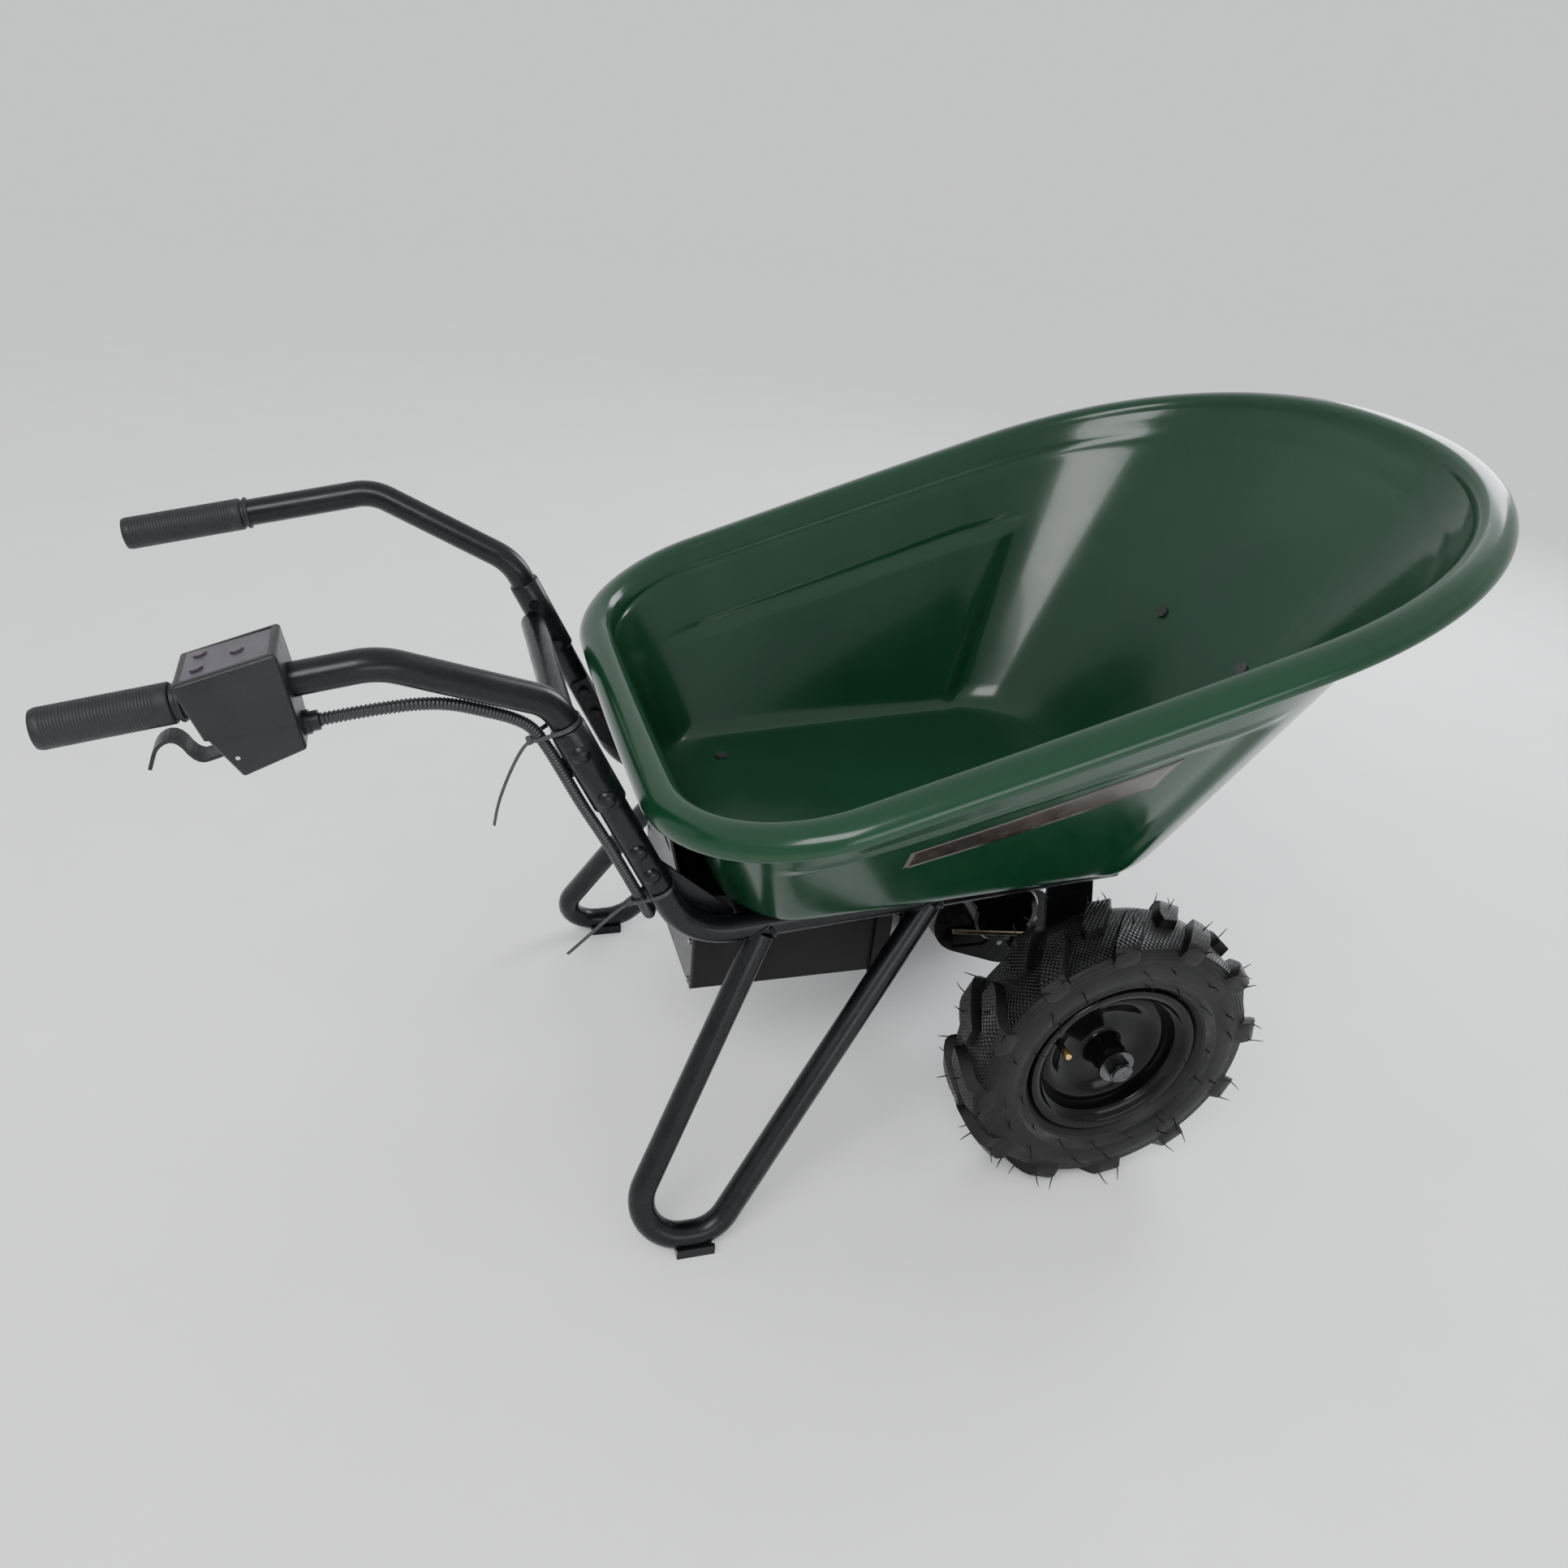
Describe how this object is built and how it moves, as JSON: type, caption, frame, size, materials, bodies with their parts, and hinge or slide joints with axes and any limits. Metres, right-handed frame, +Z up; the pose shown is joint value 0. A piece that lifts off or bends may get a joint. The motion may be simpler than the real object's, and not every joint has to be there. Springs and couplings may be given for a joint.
{
  "type": "power wheelbarrow",
  "caption": "Electric two-wheel wheelbarrow with a deep moulded tub, tube frame, battery box, gear drive and a control box on the right handle.",
  "frame": {"origin": "on the floor, in the middle of the outline in X and Y", "axes": "+X forward to the nose of the tub, +Y to the user's left, +Z up"},
  "size_m": [1.5704, 0.83, 0.9102],
  "materials": {
    "green_plastic": "gloss",
    "black_steel": "satin",
    "black_iron": "satin",
    "grey_steel": "satin",
    "rubber": "matte",
    "tyre": "matte",
    "bright_steel": "satin",
    "brass": "satin",
    "black_plastic": "matte",
    "panel_plastic": "satin",
    "alloy": "satin"
  },
  "bodies": {
    "frame": {"tub": "green_plastic", "side_decal": "black_plastic", "right_handle": "black_steel", "left_handle": "black_steel", "right_grip": "rubber", "left_grip": "rubber", "joint_sleeves": "black_steel", "crossbar": "black_steel", "right_rail": "black_steel", "left_rail": "black_steel", "gussets": "black_steel", "floor_strap": "black_steel", "front_crossbar": "black_steel", "front_braces": "black_steel", "right_leg": "black_steel", "left_leg": "black_steel", "feet": "black_steel", "handle_bolts": "bright_steel", "gusset_bolts": "bright_steel", "tub_bolts": "bright_steel", "battery_box": "black_steel", "box_rear_plate": "grey_steel", "box_front_flange": "black_steel", "box_straps": "black_steel", "batteries": "black_plastic", "motor_controller": "alloy", "charger_socket": "black_plastic", "box_screws": "bright_steel", "gear_case": "black_iron", "gear_case_cover": "black_iron", "oval_cover": "black_iron", "case_screws": "bright_steel", "motor_casing": "black_steel", "motor_magnets": "bright_steel", "axle_housings": "black_steel", "axle_brackets": "black_steel", "bracket_bolts": "bright_steel", "axle_bearings": "bright_steel", "brake_rod": "bright_steel", "control_top": "black_plastic", "control_base": "black_plastic", "keypad_panel": "panel_plastic", "keypad_board": "black_plastic", "throttle_pin": "bright_steel", "conduit": "black_plastic", "conduit_glands": "black_plastic", "cable_ties": "black_plastic"},
    "wheels": {"drive_axle": "bright_steel", "right_rim": "black_steel", "left_rim": "black_steel", "right_tyre": "tyre", "left_tyre": "tyre", "axle_nuts": "bright_steel", "valve_stems": "brass"},
    "idler": {"first_gear": "bright_steel"},
    "rotor": {"motor_rotor": "bright_steel"},
    "throttle": {"throttle_paddle": "black_plastic"},
    "power_key": {"power_button": "panel_plastic"},
    "forward_key": {"forward_button": "panel_plastic"},
    "reverse_key": {"reverse_button": "panel_plastic"}
  },
  "joints": [
    {"name": "wheel_spin", "type": "hinge", "parent": "frame", "child": "wheels", "pos_m": [0.34404, 0, 0.198], "axis": [0, 1, 0], "continuous": true},
    {"name": "idler_spin", "type": "hinge", "parent": "frame", "child": "idler", "pos_m": [0.2766, 0, 0.21675], "axis": [0, 1, 0], "continuous": true},
    {"name": "rotor_spin", "type": "hinge", "parent": "frame", "child": "rotor", "pos_m": [0.28604, 0, 0.276], "axis": [0, 1, 0], "continuous": true},
    {"name": "throttle", "type": "hinge", "parent": "frame", "child": "throttle", "pos_m": [-0.6182, -0.252, 0.67778], "axis": [0, 1, 0], "range_deg": [0, 10], "stiffness_Nm_per_rad": 0.6},
    {"name": "power", "type": "slide", "parent": "frame", "child": "power_key", "axis": [0.2899, 0, -0.9571], "range_m": [0, 0.0012], "stiffness_N_per_m": 400},
    {"name": "forward", "type": "slide", "parent": "frame", "child": "forward_key", "axis": [0.2899, 0, -0.9571], "range_m": [0, 0.0012], "stiffness_N_per_m": 400},
    {"name": "reverse", "type": "slide", "parent": "frame", "child": "reverse_key", "axis": [0.2899, 0, -0.9571], "range_m": [0, 0.0012], "stiffness_N_per_m": 400}
  ],
  "couplings": [
    {"joint": "idler_spin", "follows": "wheel_spin", "ratio": -3.3077},
    {"joint": "rotor_spin", "follows": "wheel_spin", "ratio": 10.868}
  ]
}
